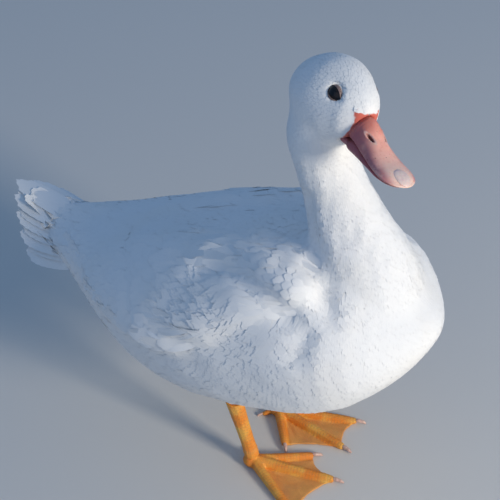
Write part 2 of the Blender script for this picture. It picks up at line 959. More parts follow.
@dataclass
class Skin:
    """One skin over trunk, neck, head, thighs and wings, inside the solids by the coat's depth."""

    body: BodyFrame
    head: HeadFrame
    nodes: tuple[str, ...] = (
        *("trunk", "neck", "head"),
        *("thigh_left", "thigh_right", "wing_left", "wing_right"),
    )
    overlap: float = 0.7
    voxel: float = 2.6
    smoothing: int = 9
    depth_head: float = 0.5
    depth_neck: float = 1.4
    depth_body: float = 2.4
    depth_tail: float = 1.0
    neck_lumps: Point = (7.0, 7.0, 20.0)
    neck_lump_rise: float = 0.9
    trunk_lumps: Point = (26.0, 18.0, 18.0)
    trunk_lump_rise: float = 0.8
    pinch: float = 0.3
    brow: Point = (15.5, 19.5, 17.5)
    brow_rise: float = 1.9
    brow_reach: float = 5.5
    bare_draw: float = 0.5
    rear_rounds: int = 60
    nape_height: float = 344.0
    nape_reach: float = 19.0
    nape_rounds: int = 45
    island_angle: float = 66.0
    piece: Piece = field(init=False)
    tree: BVHTree = field(init=False)
    face_normals: Array = field(init=False)
    face_centres: Array = field(init=False)
    face_patches: Array = field(init=False)

    def build(self, cad: dict[str, Piece], flow: Flow) -> None:
        """Joins the flesh into one surface, shapes it and indexes it for the coat.

        Args:
            cad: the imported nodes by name.
            flow: the lie of the coat, which grades the coat's depth.
        """
        nodes = [cad[name] for name in self.nodes]
        bolster = partial(Fan().add_bolster, body=self.body)
        self.piece = fused("skin", nodes, self.overlap, self.voxel, self.smoothing, bolster)
        self.shape(flow)
        self.unwrap()
        self.index()

    def depth(self, along: Array) -> Array:
        """The coat's depth in millimetres at distances along the lie of the coat.

        Args:
            along: the distances in millimetres.

        Returns:
            The depth at each of them.
        """
        knots = [0.0, 60.0, 130.0, 190.0, 260.0, 440.0, 485.0]
        depths = [self.depth_head] * 2 + [self.depth_neck] * 2 + [self.depth_body] * 2 + [self.depth_tail]
        return np.interp(along, knots, depths)

    def shape(self, flow: Flow) -> None:
        """Draws the skin in by the coat's depth, folds and lumps it and shapes the face.

        Args:
            flow: the lie of the coat.
        """
        mesh = self.piece.data
        points, normals = vertices_of(mesh)
        local = self.body.local(points)
        along = flow.distance(points)
        move = -(self.depth(along) + self.overlap)
        for side in Side:
            for fold in WING_FOLDS:
                move += fold.shift(local, side)
        neck = smoothstep(60, 95, along) * smoothstep(215, 180, along)
        trunk = smoothstep(190, 260, along)
        move += neck * self.neck_lump_rise * bumps(points, self.neck_lumps, 3.1)
        move += trunk * self.trunk_lump_rise * bumps(points, self.trunk_lumps, 7.7)
        inside = self.head.local(points)
        pinch = smoothstep(22, 35, inside[:, 0]) * smoothstep(-18, -6, inside[:, 2]) * (along < 60)
        inside[:, 1] *= 1 - self.pinch * pinch
        points = self.head.at(inside)
        for side in Side:
            away = np.linalg.norm(inside - mirrored(self.brow, side), axis=1)
            move += self.brow_rise * np.exp(-((away / self.brow_reach) ** 2))
        bare = smoothstep(-0.8, 0.4, BareFace().inside(inside))
        move += bare * (self.depth_head + self.bare_draw)
        points = points + normals * (move * MM)[:, None]
        rear = smoothstep(-50, -100, local[:, 0])
        points = relax(mesh, points, rear, self.rear_rounds)
        above = (local[:, 2] - self.nape_height) / self.nape_reach
        nape = smoothstep(60, 40, local[:, 0]) * np.exp(-(above**4))
        set_vertices(mesh, relax(mesh, points, nape, self.nape_rounds))
        keep_values(mesh, "bare", bare)

    def unwrap(self) -> None:
        """Lays the skin's own shape out flat in its bake map."""
        mesh = self.piece.data
        for spare in list(mesh.uv_layers):
            mesh.uv_layers.remove(spare)
        mesh.uv_layers.new(name=BAKE_MAP)
        bpy.context.view_layer.objects.active = self.piece
        self.piece.select_set(True)
        bpy.ops.object.mode_set(mode="EDIT")
        bpy.ops.mesh.select_all(action="SELECT")
        bpy.ops.uv.smart_project(angle_limit=math.radians(self.island_angle), island_margin=0.004)
        bpy.ops.object.mode_set(mode="OBJECT")
        self.piece.select_set(False)

    def index(self) -> None:
        mesh = self.piece.data
        points, normals = vertices_of(mesh)
        faces = [tuple(face.vertices) for face in mesh.polygons]
        self.tree = BVHTree.FromPolygons([tuple(point) for point in points], faces)
        self.face_normals = unit(np.array([normals[list(face)].mean(0) for face in faces]))
        self.face_centres = np.array([points[list(face)].mean(0) for face in faces])
        patches = read(mesh.uv_layers[BAKE_MAP].data, "uv", 2)
        self.face_patches = np.array([patches[list(face.loop_indices)].mean(0) for face in mesh.polygons])

    def nearest(self, points: Array) -> tuple[Array, Array, Array]:
        """The skin's nearest points.

        Args:
            points: points in metres, one a row.

        Returns:
            The places on the skin, the smooth normals there and the faces they are on.
        """
        found = [self.tree.find_nearest(Vector(point)) for point in points]
        faces = np.array([hit[2] for hit in found])
        return np.array([hit[0] for hit in found]), self.face_normals[faces], faces


# ---- The lie of the coat ------------------------------------------------------------------------


@dataclass
class Flow:
    """The way the feathers lie: back from the bill, down the neck, then back to the tail."""

    body: BodyFrame
    line: tuple[Point, ...] = (
        (97, -16, 362),
        (64, 0, 366),
        (49, 0, 345),
        (55, 0, 306),
        (64, 0, 268),
        (76, 0, 228),
        (72, 0, 195),
        (40, 0, 172),
        (-25, 0, 160),
        (-130, 0, 158),
        (-208, 0, 161),
        (-250, 0, 166),
    )
    reach: float = 26.0
    samples: int = 90
    thigh_x: float = -8.0
    thigh_way: Point = (-0.35, 0.0, -1.0)
    spots: Array = field(init=False)
    ways: Array = field(init=False)
    lengths: Array = field(init=False)

    def __post_init__(self) -> None:
        """Reads the line as a row of close points with their directions."""
        shares = np.linspace(0, 1, self.samples)
        self.spots = self.body.at(spline(self.line, shares))
        self.ways = unit(np.gradient(self.spots, axis=0))
        steps = np.linalg.norm(np.diff(self.spots, axis=0), axis=1)
        self.lengths = np.concatenate([[0.0], np.cumsum(steps)]) / MM

    def weights(self, points: Array) -> Array:
        """How much each part of the line counts at each point.

        Args:
            points: the points in metres.

        Returns:
            A row of shares for each point, which add up to 1.
        """
        gaps = ((points[:, None, :] - self.spots[None]) ** 2).sum(-1)
        gaps -= gaps.min(1, keepdims=True)
        shares = np.exp(-gaps / (2 * (self.reach * MM) ** 2))
        return shares / shares.sum(1, keepdims=True)

    def distance(self, points: Array) -> Array:
        """How far along the line points lie, in millimetres from the bill."""
        return self.weights(points) @ self.lengths

    def direction(self, points: Array, normals: Array) -> Array:
        """The lie of the coat at points on the skin.

        Args:
            points: the points in metres.
            normals: the skin's normals there.

        Returns:
            Directions along the skin, of length one.
        """
        ways = self.weights(points) @ self.ways
        local = self.body.local(points)
        thigh = smoothstep(104, 86, local[:, 2]) * smoothstep(60, 40, np.abs(local[:, 0] - self.thigh_x))
        ways = ways * (1 - thigh)[:, None] + thigh[:, None] * np.array(self.thigh_way)
        return tangent(ways, normals)


# ---- Feathers -----------------------------------------------------------------------------------


@dataclass(frozen=True)
class Vane:
    """The form of one kind of feather, in shares of its own length and width."""

    columns: int = 5
    rows: int = 9
    root: float = 0.30
    widest: float = 0.62
    tip: float = 0.42
    round: float = 0.10
    fringe: float = 0.05
    stations: int = 3

    def template(self) -> tuple[Array, Array]:
        """Shapes one closed feather from a grid.

        Returns:
            Its points as (across, along, height) shares, and its triangles.
        """
        bm = bmesh.new()
        bmesh.ops.create_grid(bm, x_segments=self.columns - 1, y_segments=self.rows - 1, size=0.5)
        for vertex in bm.verts:
            across, along = 2 * vertex.co.x, vertex.co.y + 0.5
            row = round(along * (self.rows - 1))
            column = round((across + 1) / 2 * (self.columns - 1))
            edge = abs(across) ** 6 * along
            ragged = 1 if row % 2 else -0.6
            half = self.half_width(along)
            vertex.co.x = across * half * (1 + edge * ragged * self.fringe * 1.5)
            vertex.co.y = along - self.round * across**2 * along**5 + edge * ragged * self.fringe
            if row == self.rows - 1 and 0 < column < self.columns - 1:
                vertex.co.y += self.fringe * (1 if column % 2 else -0.5)
            vertex.co.z = (1 - abs(across) ** 1.6) * min(1.0, 3 * (1 - along) + 0.15)
        rim = [edge for edge in bm.edges if edge.is_boundary]
        bmesh.ops.edgeloop_fill(bm, edges=rim)
        bmesh.ops.triangulate(bm, faces=bm.faces)
        bmesh.ops.recalc_face_normals(bm, faces=bm.faces)
        bm.verts.index_update()
        points = np.array([vertex.co[:] for vertex in bm.verts])
        triangles = np.array([[vertex.index for vertex in face.verts] for face in bm.faces])
        bm.free()
        return points, triangles

    def half_width(self, along: float) -> float:
        """The outline's half width at a share of the length, where 1 is the widest.

        Args:
            along: the share of the length.

        Returns:
            The half width there.
        """
        if along < self.widest:
            share = along / self.widest
            return self.root + (1 - self.root) * math.sin(share * math.pi / 2) ** 0.8
        share = (along - self.widest) / (1 - self.widest)
        return self.tip + (1 - self.tip) * math.sqrt(max(0.0, 1 - share**2))


@dataclass
class Feathers:
    """Feathers of one kind ready to be laid: one row in each array for each feather.

    Places are in metres and sizes in millimetres. rise is the height above the skin at the root and
    the tip.
    """

    vane: Vane
    places: Array
    normals: Array
    ways: Array
    faces: Array
    length: Array
    width: Array
    rise: Array
    thickness: float = 0.5
    curl: float = 0.0
    stiff: Array | float = 0.0
    track: tuple[Array, Array] | None = None

    def march(self, skin: Skin) -> tuple[Array, Array, list[Array]]:
        """Walks each feather's quill over the skin.

        Args:
            skin: the skin that they lie on.

        Returns:
            The quill's places and normals (feather, station, xyz), and how far the skin falls away on
            each side of its middle.
        """
        steps = self.vane.stations
        spots, lifts = [self.places], [self.normals]
        way = self.ways
        stride = (self.length * MM / (steps - 1))[:, None]
        for _ in range(steps - 1):
            spot, normal, _ = skin.nearest(spots[-1] + way * stride)
            way = tangent(way, normal)
            spots.append(spot)
            lifts.append(normal)
        curve, lift = np.stack(spots, 1), unit(np.stack(lifts, 1))
        ahead = (self.length * MM)[:, None] * np.linspace(0, 1, steps)
        straight = self.places[:, None] + self.ways[:, None] * ahead[..., None]
        above = ((straight - curve) * lift).sum(-1) > 0
        share = (above * np.broadcast_to(self.stiff, len(curve))[:, None])[..., None]
        curve = curve + (straight - curve) * share
        lift = unit(lift + (self.normals[:, None] - lift) * share)
        middle = steps // 2
        sideways = unit(np.cross(lift[:, middle], self.ways))
        half = (self.width * MM / 2)[:, None]
        droop = []
        for sign in (-1, 1):
            spot, _, _ = skin.nearest(curve[:, middle] + sign * sideways * half)
            fall = ((spot - curve[:, middle]) * lift[:, middle]).sum(1)
            droop.append(np.clip(fall, -0.5 * half[:, 0], 0.25 * half[:, 0]))
        return curve, lift, droop

    def lay(
        self, skin: Skin, rng: Random
    ) -> tuple[Array, Array, Array, Array]:
        """Bends each feather along the skin.

        Args:
            skin: the skin that they lie on.
            rng: the source of the small differences between them.

        Returns:
            The points and the skin's normals there (feather, point, xyz), the triangles of one feather
            and its template points.
        """
        shape, triangles = self.vane.template()
        count = len(self.places)
        steps = self.vane.stations
        if self.track is None:
            curve, lift, droop = self.march(skin)
        else:
            curve, lift = self.track
            droop = [np.zeros(count)] * 2
        knots = np.linspace(0, 1, steps)
        half = (self.width * MM / 2)[:, None]
        rise = self.rise[:, :1] + (self.rise[:, 1:] - self.rise[:, :1]) * knots
        curve = curve + lift * (rise * MM)[..., None]
        basis = np.ones((len(shape), steps))
        for n in range(steps):
            for m in range(steps):
                if m != n:
                    basis[:, n] *= (shape[:, 1] - knots[m]) / (knots[n] - knots[m])
        centre = np.einsum("jk,ikc->ijc", basis, curve)
        up = unit(np.einsum("jk,ikc->ijc", basis, lift))
        slopes = np.gradient(curve, axis=1)
        forward = unit(np.einsum("jk,ikc->ijc", basis, slopes))
        across = unit(np.cross(up, forward))
        roll = rng.normal(0, 0.02, count)[:, None]
        side = shape[None, :, 0] * half
        sag = np.where(shape[None, :, 0] < 0, droop[0][:, None], droop[1][:, None])
        raised = (
            shape[None, :, 2] * self.thickness * MM
            + sag * shape[None, :, 0] ** 2
            + side * roll
            + self.curl * MM * rng.normal(0.4, 0.6, count)[:, None] * shape[None, :, 1] ** 3
        )
        return centre + across * side[..., None] + up * raised[..., None], up, triangles, shape


@dataclass
class CoatPiece:
    """Gathers laid feathers into one mesh."""

    name: str
    skin: Skin
    material: Material
    patch: float = 0.0015
    softness: float = 0.88
    points: list[Array] = field(default_factory=list)
    normals: list[Array] = field(default_factory=list)
    triangles: list[Array] = field(default_factory=list)
    bake: list[Array] = field(default_factory=list)
    barbs: list[Array] = field(default_factory=list)
    size: int = 0

    def add(self, feathers: Feathers, rng: Random) -> None:
        """Lays feathers and keeps their mesh and both of their maps.

        Args:
            feathers: the feathers to lay.
            rng: the source of their differences.
        """
        points, ups, triangles, shape = feathers.lay(self.skin, rng)
        count, corners = points.shape[:2]
        offsets = np.arange(count)[:, None, None] * corners + self.size
        self.points.append(points.reshape(-1, 3))
        self.normals.append(ups.reshape(-1, 3))
        self.triangles.append((triangles[None] + offsets).reshape(-1, 3))
        spread = shape[None, :, :2] * [1, 2] - [0, 1]
        patches = self.skin.face_patches[feathers.faces][:, None]
        self.bake.append((patches + spread * self.patch).reshape(-1, 2))
        sizes = np.stack([feathers.width * MM / 2, feathers.length * MM], 1)
        self.barbs.append((shape[None, :, :2] * sizes[:, None]).reshape(-1, 2))
        self.size += count * corners

    def soften(self, mesh: Mesh, corners: Array) -> None:
        """Turns the shading normals towards those of the skin, so that the feathers read as one coat.

        Args:
            mesh: the piece's mesh.
            corners: the vertex at each of its corners.
        """
        own = read(mesh.corner_normals, "vector", 3)
        skin = np.concatenate(self.normals)[corners]
        facing = np.sign((own * skin).sum(1, keepdims=True))
        blend = unit(own * (1 - self.softness) + skin * facing * self.softness)
        mesh.normals_split_custom_set(blend.astype(np.float32))

    def finish(self, nodes: Sequence[str] = ()) -> None:
        """Makes the piece's mesh, with both maps and softened normals.

        Args:
            nodes: the nodes that it replaces.
        """
        points = np.concatenate(self.points).astype(np.float32)
        triangles = np.concatenate(self.triangles).astype(np.int32)
        mesh = bpy.data.meshes.new(self.name)
        mesh.vertices.add(len(points))
        mesh.vertices.foreach_set("co", points.ravel())
        mesh.loops.add(triangles.size)
        mesh.loops.foreach_set("vertex_index", triangles.ravel())
        mesh.polygons.add(len(triangles))
        mesh.polygons.foreach_set("loop_start", np.arange(0, triangles.size, 3, dtype=np.int32))
        mesh.update(calc_edges=True)
        for name, rows in ((BAKE_MAP, self.bake), (BARB_MAP, self.barbs)):
            layer = mesh.uv_layers.new(name=name)
            spots = np.concatenate(rows).astype(np.float32)[triangles.ravel()]
            layer.data.foreach_set("uv", spots.ravel())
        mesh.shade_smooth()
        mesh.set_sharp_from_angle(angle=math.radians(65))
        self.soften(mesh, triangles.ravel())
        dress(linked(self.name, mesh), self.material, nodes)


@dataclass(frozen=True)
class Tract:
    """A stretch of the coat along its lie, with the sizes of its feathers at both ends."""

    name: str
    start: float
    end: float
    vane: Vane
    spacing: Pair
    length: Pair
    width: Pair
    rise: Pair
    scatter: float
    curl: float
    thickness: float
    stiff: Pair = (0.0, 0.0)


FEATHER_ROWS = ("places", "normals", "ways", "faces", "length", "width", "rise", "stiff")

FINE = Vane(columns=3, rows=5, root=0.5, tip=0.15, round=0.05, fringe=0.04)
SHORT = Vane(columns=5, rows=5, root=0.4, tip=0.25, round=0.12, fringe=0.07)
CONTOUR = Vane(columns=5, rows=9, root=0.35, tip=0.38, round=0.14, fringe=0.05)
LOOSE = Vane(columns=5, rows=9, root=0.35, widest=0.5, tip=0.20, round=0.26, fringe=0.045)
COVER = Vane(columns=5, rows=11, root=0.45, widest=0.5, tip=0.40, round=0.10, fringe=0.014)
QUILL = Vane(columns=7, rows=21, root=0.45, widest=0.5, tip=0.40, round=0.07, fringe=0.012, stations=4)

TAIL_COVER_LIE = (0.05, 0.02, 0.1, (0.7, 1))
TRACTS = (
    Tract("head", -40, 62, FINE, (1.3, 1.6), (3.9, 5.6), (2.1, 2.8), (-0.08, 0.26), 0.16, 0.02, 0.05),
    Tract("neck_upper", 62, 118, SHORT, (1.7, 2.2), (6.5, 9), (3.6, 4.8), (-0.05, 0.5), 0.14, 0.05, 0.07),
    Tract("neck_lower", 118, 196, SHORT, (2.2, 2.9), (9, 12), (4.8, 6.8), (0, 0.75), 0.14, 0.08, 0.08),
    Tract("breast", 196, 262, CONTOUR, (2.9, 3.8), (13, 17), (7.6, 10), (0.1, 0.9), 0.09, 0.08, 0.08),
    Tract("body", 262, 410, CONTOUR, (3.8, 5.2), (18, 25), (10.5, 14.5), (0.2, 1), 0.09, 0.06, 0.1),
    Tract("rump", 410, 478, CONTOUR, (5.2, 5.4), (25, 30), (14, 15), (0.2, 0.9), 0.07, 0.04, 0.1, (0, 0.5)),
    Tract("tail_covers", 478, 620, COVER, (5.4, 5.6), (28, 36), (15, 16), (0, 0.4), *TAIL_COVER_LIE),
)
FLANK = Tract("flank", 0, 1, LOOSE, (3.2, 3.2), (16, 24), (6, 9.5), (0.3, 1.2), 0.24, 0.2, 0.1, (0.3, 0.05))


def rear_edge(across: Array) -> Array:
    """The X of the wings' rear edges at distances across the body, in millimetres."""
    return np.interp(np.abs(across), [0, 35, 72, 93], [-128, -118, -88, -71])


@dataclass
class Coat:
    """The feathers of the head, neck and body."""

    skin: Skin
    flow: Flow
    head: HeadFrame
    material: Material
    wings: BVHTree
    seed: int = 20
    candidates: int = 150_000
    flank: Point = (12.0, 84.0, 198.0)
    flank_reach: Point = (52.0, 44.0, 26.0)
    flank_lift: float = 0.35
    eye_hole: Point = (11.6, 20.5, 13.3)
    eye_reach: Point = (5.8, 8.0, 3.1)
    eye_lean: Pair = (0.95, 0.3)
    tail_start: float = 490.0
    tail_facing: float = -0.55
    wing_front: float = 70.0
    wing_margin: float = 12.0
    wing_depth: float = 1.6

    def scatter(self, rng: Random) -> tuple[Array, Array, Array]:
        """Picks the feathers' roots over the whole skin, spaced by the sizes of their tracts.

        Args:
            rng: the source of random numbers.

        Returns:
            The roots' places, the skin's faces there and the distances along the lie.
        """
        mesh = self.skin.piece.data
        mesh.calc_loop_triangles()
        corners = read(mesh.loop_triangles, "vertices", 3, np.int32)
        owners = read(mesh.loop_triangles, "polygon_index", 1, np.int32)[:, 0]
        points, _ = vertices_of(mesh)
        a, b, c = (points[corners[:, n]] for n in range(3))
        areas = np.linalg.norm(np.cross(b - a, c - a), axis=1) / 2
        along = self.flow.distance((a + b + c) / 3)
        gaps = self.spacing(along)
        chance = areas / gaps**2
        picked = rng.choice(len(areas), self.candidates, p=chance / chance.sum())
        u, v = rng.random((2, self.candidates))
        flip = u + v > 1
        u[flip], v[flip] = 1 - u[flip], 1 - v[flip]
        spots = a[picked] + (b - a)[picked] * u[:, None] + (c - a)[picked] * v[:, None]
        tree = KDTree(self.candidates)
        for n, spot in enumerate(spots):
            tree.insert(spot, n)
        tree.balance()
        reach = gaps[picked] * MM
        free = np.ones(self.candidates, bool)
        kept = []
        for n in range(self.candidates):
            if free[n]:
                kept.append(n)
                for _, other, _ in tree.find_range(spots[n], reach[n]):
                    free[other] = False
        kept = np.array(kept)
        return spots[kept], owners[picked[kept]], along[picked[kept]]

    def spacing(self, along: Array) -> Array:
        """The gap between roots in millimetres at distances along the lie.

        Args:
            along: the distances in millimetres.

        Returns:
            The gap at each of them.
        """
        knots = [tract.start for tract in TRACTS] + [TRACTS[-1].end]
        gaps = [tract.spacing[0] for tract in TRACTS] + [TRACTS[-1].spacing[1]]
        return np.interp(along, knots, gaps)

    def covered(self, places: Array) -> Array:
        """Which places are feathered: not in an eye, nor on the bare skin round the bill.

        Args:
            places: the places in metres.

        Returns:
            Whether each is feathered.
        """
        local = self.head.local(places)
        bare = BareFace().inside(local) > 0
        cosine, sine = self.eye_lean
        for side in Side:
            x, y, z = (local - mirrored(self.eye_hole, side)).T
            turned = np.stack([x * cosine - z * sine, y, x * sine + z * cosine], 1)
            bare |= np.linalg.norm(turned / self.eye_reach, axis=1) < 1
        return ~bare

    def in_flank(self, places: Array) -> Array:
        """How deep places lie in the loose feathers of the flanks, from 0 at their border to 1.

        Args:
            places: the places in metres.

        Returns:
            The depth of each.
        """
        local = self.skin.body.local(places)
        away = (np.abs(local) * [0, 1, 0] + local * [1, 0, 1] - self.flank) / self.flank_reach
        return np.clip(1 - np.linalg.norm(away, axis=1), 0, 1)

    def winged(self, places: Array) -> Array:
        """Which places the wings' own feathers cover.

        Args:
            places: the places in metres.

        Returns:
            Whether each is covered.
        """
        limit = (self.skin.depth_body + self.wing_depth) * MM
        near = np.array([self.wings.find_nearest(Vector(place), limit)[0] is not None for place in places])
        local = self.skin.body.local(places)
        front = local[:, 0] > rear_edge(local[:, 1]) + self.wing_margin
        return near & front & (local[:, 0] < self.wing_front) & (self.in_flank(places) <= 0)

    def build(self) -> None:
        """Lays every tract."""
        rng = np.random.default_rng(self.seed)
        places, faces, along = self.scatter(rng)
        keep = self.covered(places) & ~self.winged(places)
        keep &= (along < self.tail_start) | (self.skin.face_normals[faces][:, 0] > self.tail_facing)
        places, faces, along = places[keep], faces[keep], along[keep]
        normals = self.skin.face_normals[faces]
        ways = self.flow.direction(places, normals)
        loose = self.in_flank(places)
        for tract in (*TRACTS, FLANK):
            if tract is FLANK:
                inside = np.nonzero(loose > 0)[0]
                along = 1 - np.clip(loose, 0, 1)
                ways = tangent(ways + [0, 0, self.flank_lift], normals)
            else:
                inside = np.nonzero((along >= tract.start) & (along < tract.end) & (loose <= 0))[0]
            share = (along[inside] - tract.start) / (tract.end - tract.start)
            yaw = rng.normal(0, tract.scatter, len(inside))
            side = np.cross(normals[inside], ways[inside])
            turned = ways[inside] * np.cos(yaw)[:, None] + side * np.sin(yaw)[:, None]
            vary = rng.normal(1.0, 0.08, (2, len(inside)))
            tips = tract.rise[1] * rng.normal(1.0, 0.04, len(inside))
            rise = np.stack([np.full(len(inside), tract.rise[0]), tips], 1)
            feathers = Feathers(
                vane=tract.vane,
                places=places[inside],
                normals=normals[inside],
                ways=turned,
                faces=faces[inside],
                length=between(tract.length, share) * vary[0],
                width=between(tract.width, share) * vary[1],
                rise=rise,
                thickness=tract.thickness,
                curl=tract.curl,
                stiff=tract.stiff[0] + (tract.stiff[1] - tract.stiff[0]) * np.clip(share, 0, 1) ** 2,
            )
            self.split(f"coat_{tract.name}", feathers, rng)

    def split(self, name: str, feathers: Feathers, rng: Random) -> None:
        """Lays feathers as one piece, or as several where one would be too large.

        Args:
            name: the piece's name.
            feathers: the feathers.
            rng: the source of their differences.
        """
        _, triangles = feathers.vane.template()
        count = math.ceil(len(feathers.places) / (PIECE_TRIANGLES // len(triangles)))
        order = np.argsort(feathers.places[:, 1], kind="stable")
        for n, rows in enumerate(np.array_split(order, count)):
            piece = CoatPiece(name if count == 1 else f"{name}_{n + 1}", self.skin, self.material)
            piece.add(replace(feathers, **{key: getattr(feathers, key)[rows] for key in FEATHER_ROWS}), rng)
            piece.finish()


# ---- Wings and tail -----------------------------------------------------------------------------


@dataclass
class Wing:
    """A folded wing's feathers: small coverts at the shoulder, long vanes over the back and rump."""

    side: Side
    skin: Skin
    body: BodyFrame
    material: Material
    form: Loft = Loft(
        sections=(
            (-152, 32, 171, 22, 8, 4, -16),
            (-122, 42, 171, 38, 13, 7, -25),
            (-86, 50, 176, 49, 20, 10, -33),
            (-50, 54, 182, 54, 26, 12, -38),
            (-16, 55, 194, 51, 26, 12, -39),
            (26, 50, 218, 37, 21, 12, -33),
            (62, 47, 228, 29, 19, 10, -31),
            (88, 45, 230, 19, 12, 8, -30),
        ),
        ends=(0.16, 0.2),
    )
    front: float = 78.0
    rear: float = -88.0
    step: Pair = (5.0, 12.0)
    length: Pair = (17.0, 76.0)
    width: Pair = (9.0, 24.0)
    rise: Pair = (0.1, 0.9)
    shortest: float = 22.0
    arc: Pair = (8.0, 164.0)
    crowding: float = 2.4
    trail: float = 0.03
    backward: Point = (-0.8, 0.0, -0.05)
    seed: int = 40

    def rows(self) -> list[Pair]:
        """The rows' places, as X in millimetres and the share of the way to the longest row.

        Returns:
            The rows from front to back.
        """
        rows = []
        place = self.front
        while place > self.rear:
            share = (self.front - place) / (self.front - self.rear)
            rows.append((place, share))
            place -= self.step[0] + (self.step[1] - self.step[0]) * share
        return rows

    def build(self) -> None:
        """Lays the wing's rows as one piece."""
        rng = np.random.default_rng(self.seed + self.side.value)
        sections = np.array(self.form.sections)
        shares = np.linspace(0, 1, 200)
        stations = spline(sections[:, :1], shares)[:, 0]
        spots, lengths, widths, ways, tips = [], [], [], [], []
        for n, (place, share) in enumerate(self.rows()):
            along = float(np.interp(place, stations, shares))
            width = between(self.width, share)
            wide = np.interp(place, sections[:, 0], sections[:, 3])
            count = max(3, int(self.crowding * wide / (0.5 * width)))
            turns = (np.arange(count) + 0.5 * (n % 2) + rng.uniform(-0.12, 0.12, count) + 0.2) / count
            angles = np.radians(self.arc[0] + self.arc[1] * turns)
            alongs = np.clip(along + rng.normal(0, 0.003, count), 0, 1)
            here = self.form.surface(alongs, angles, self.side.value)
            back = self.form.surface(np.clip(alongs - self.trail, 0, 1), angles, self.side.value)
            length = between(self.length, share) * rng.normal(1, 0.04, count)
            room = here[:, 0] - rear_edge(here[:, 1]) + rng.normal(0, 1.5, count)
            keep = room > self.shortest
            spots.append(here[keep])
            ways.append(unit(unit(back - here) + self.backward)[keep])
            lengths.append(np.minimum(length, room)[keep])
            widths.append((width * rng.normal(1, 0.04, count))[keep])
            tips.append(np.full(keep.sum(), 0.35 + 0.65 * share))
        spots = self.body.at(np.concatenate(spots))
        places, normals, faces = self.skin.nearest(spots)
        count = len(places)
        feathers = Feathers(
            vane=QUILL,
            places=places,
            normals=normals,
            ways=tangent(np.concatenate(ways), normals),
            faces=faces,
            length=np.concatenate(lengths),
            width=np.concatenate(widths),
            rise=np.stack([np.full(count, self.rise[0]), self.rise[1] * np.concatenate(tips)], 1),
            thickness=0.14,
            curl=0.08,
            stiff=0.1,
        )
        coat = CoatPiece(f"coat_wing_{self.side.label}", self.skin, self.material, softness=0.92)
        coat.add(feathers, rng)
        coat.finish()


@dataclass(frozen=True)
class Tail:
    """The long feathers of the tail's fan."""

    skin: Skin
    body: BodyFrame
    material: Material
    fan: Fan = Fan()
    feathers: int = 9
    width: float = 27.0
    start: float = 12.0
    seed: int = 60

    def track(self, share: float, start: float, length: float, rise: Pair) -> Array:
        """A feather's quill on the fan.

        Args:
            share: its place across the fan, from -1 to 1.
            start: where it starts, in millimetres from the fan's root.
            length: its length in millimetres.
            rise: its height over the fan at its start and its tip.

        Returns:
            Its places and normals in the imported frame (2, station, xyz).
        """
        steps = np.linspace(0, 1, QUILL.stations)
        spots, up = self.fan.places(share, start + length * steps, between(rise, steps))
        return np.stack([self.body.at(spots), np.tile(up, (len(steps), 1))])

    def rows(self) -> list[tuple[float, float, float, float, float, float]]:
        """Every feather, as share, start, length, width and the rise at its start and tip.

        Returns:
            The upper feathers, then those between them.
        """
        rows = []
        main = np.linspace(-1, 1, self.feathers)
        for share in main:
            length = self.fan.reach(share) - self.start
            rows.append((share, self.start, length, self.width * 0.96, -2.0, -0.3 - 0.6 * abs(share)))
        for share in (main[1:] + main[:-1]) / 2:
            length = self.fan.reach(share) * 0.97 - self.start
            rows.append((share, self.start, length, self.width * 0.9, -2.6, -1.5))
        return rows

    def build(self) -> None:
        """Lays the fan's feathers as one piece."""
        rng = np.random.default_rng(self.seed)
        rows = np.array(self.rows())
        rows[:, 0] += rng.normal(0, 0.015, len(rows))
        tracks = np.array([self.track(row[0], row[1], row[2], (row[4], row[5])) for row in rows])
        curve, lift = tracks[:, 0], tracks[:, 1]
        _, _, faces = self.skin.nearest(curve[:, 0])
        feathers = Feathers(
            vane=QUILL,
            places=curve[:, 0],
            normals=lift[:, 0],
            ways=unit(curve[:, 1] - curve[:, 0]),
            faces=faces,
            length=rows[:, 2],
            width=rows[:, 3],
            rise=np.zeros((len(rows), 2)),
            thickness=0.4,
            curl=0.1,
            track=(curve, lift),
        )
        coat = CoatPiece("coat_tail", self.skin, self.material, softness=0.9)
        coat.add(feathers, rng)
        coat.finish(nodes=("tail",))


# ---- Bill and eyes ------------------------------------------------------------------------------


